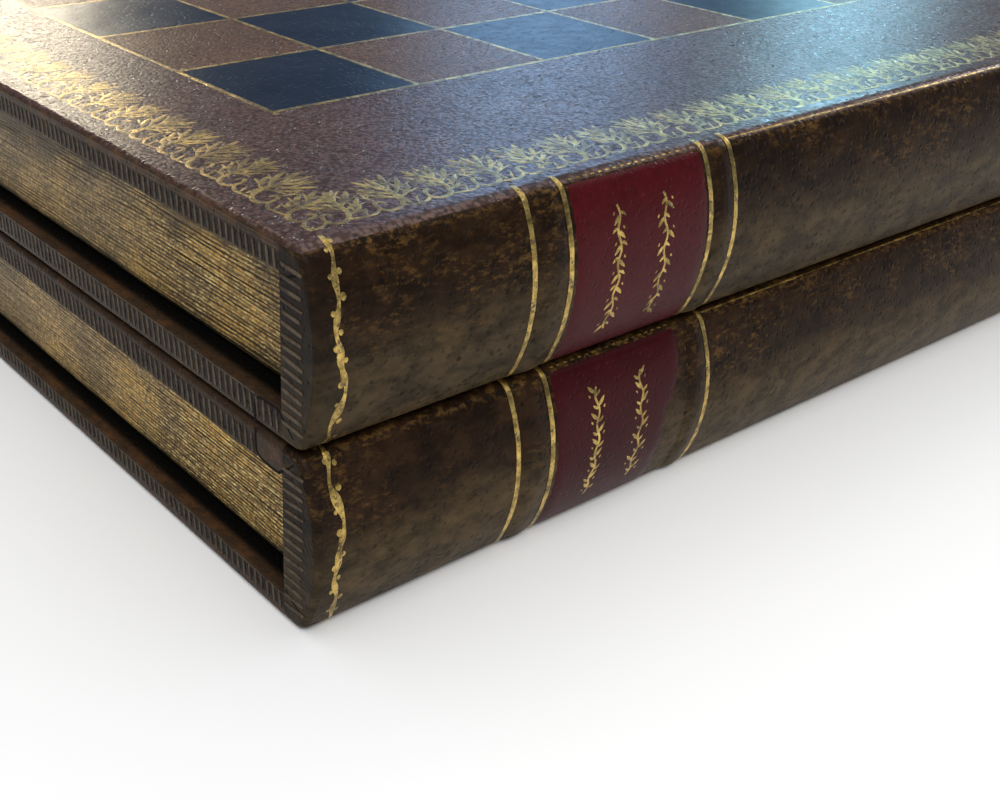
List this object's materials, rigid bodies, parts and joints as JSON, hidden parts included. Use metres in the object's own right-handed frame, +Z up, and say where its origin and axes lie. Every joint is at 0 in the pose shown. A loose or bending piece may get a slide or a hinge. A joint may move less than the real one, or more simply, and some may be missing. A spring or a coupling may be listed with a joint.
{
  "type": "folding chess board",
  "caption": "Folding chess board in the form of stacked books, hinged along the fore edges, with leather chess faces outside and a backgammon tray inside.",
  "frame": {"origin": "centre of the folded board's bounding box, at the surface it stands on", "axes": "+X along the spines, +Y from the spines to the hinge, +Z up"},
  "size_m": [0.398, 0.235, 0.0778],
  "materials": {
    "board_wood": "plain hardwood",
    "brown_leather": "antiqued, polished, gilt tooled",
    "black_leather": "polished",
    "red_leather": "polished",
    "cream_leather": "satin",
    "lining_leather": "satin",
    "gilt_pages": "grooved, gilt and antiqued",
    "hinge_brass": "polished",
    "hinge_steel": "drawn"
  },
  "bodies": {
    "lower_book": {"hinge_pins": "hinge_steel", "lower_cover_board": "board_wood", "lower_cover_leather": "brown_leather", "lower_dark_points": "red_leather", "lower_dark_squares": "black_leather", "lower_floor_lining": "lining_leather", "lower_fore_edge_pages": "gilt_pages", "lower_hinge_leaves": "hinge_brass", "lower_hinge_rail": "board_wood", "lower_hinge_screws": "hinge_brass", "lower_hinge_wall": "board_wood", "lower_left_pages": "gilt_pages", "lower_left_rail": "board_wood", "lower_left_wall": "board_wood", "lower_light_points": "cream_leather", "lower_right_pages": "gilt_pages", "lower_right_rail": "board_wood", "lower_right_wall": "board_wood", "lower_rim_leather": "brown_leather", "lower_rim_leather_front": "brown_leather", "lower_spine_bands": "brown_leather", "lower_spine_board": "board_wood", "lower_spine_label": "red_leather", "lower_spine_leather": "brown_leather", "lower_spine_rail": "board_wood", "lower_spine_wall": "board_wood", "lower_wall_lining": "lining_leather"},
    "upper_book": {"upper_cover_board": "board_wood", "upper_cover_leather": "brown_leather", "upper_dark_points": "red_leather", "upper_dark_squares": "black_leather", "upper_floor_lining": "lining_leather", "upper_fore_edge_pages": "gilt_pages", "upper_hinge_leaves": "hinge_brass", "upper_hinge_rail": "board_wood", "upper_hinge_screws": "hinge_brass", "upper_hinge_wall": "board_wood", "upper_left_pages": "gilt_pages", "upper_left_rail": "board_wood", "upper_left_wall": "board_wood", "upper_light_points": "cream_leather", "upper_right_pages": "gilt_pages", "upper_right_rail": "board_wood", "upper_right_wall": "board_wood", "upper_rim_leather": "brown_leather", "upper_rim_leather_front": "brown_leather", "upper_spine_bands": "brown_leather", "upper_spine_board": "board_wood", "upper_spine_label": "red_leather", "upper_spine_leather": "brown_leather", "upper_spine_rail": "board_wood", "upper_spine_wall": "board_wood", "upper_wall_lining": "lining_leather"}
  },
  "joints": [
    {"name": "fold_hinge", "type": "hinge", "parent": "lower_book", "child": "upper_book", "pos_m": [0, 0.115, 0.0389], "axis": [-1, 0, 0], "range_deg": [0, 180]}
  ]
}
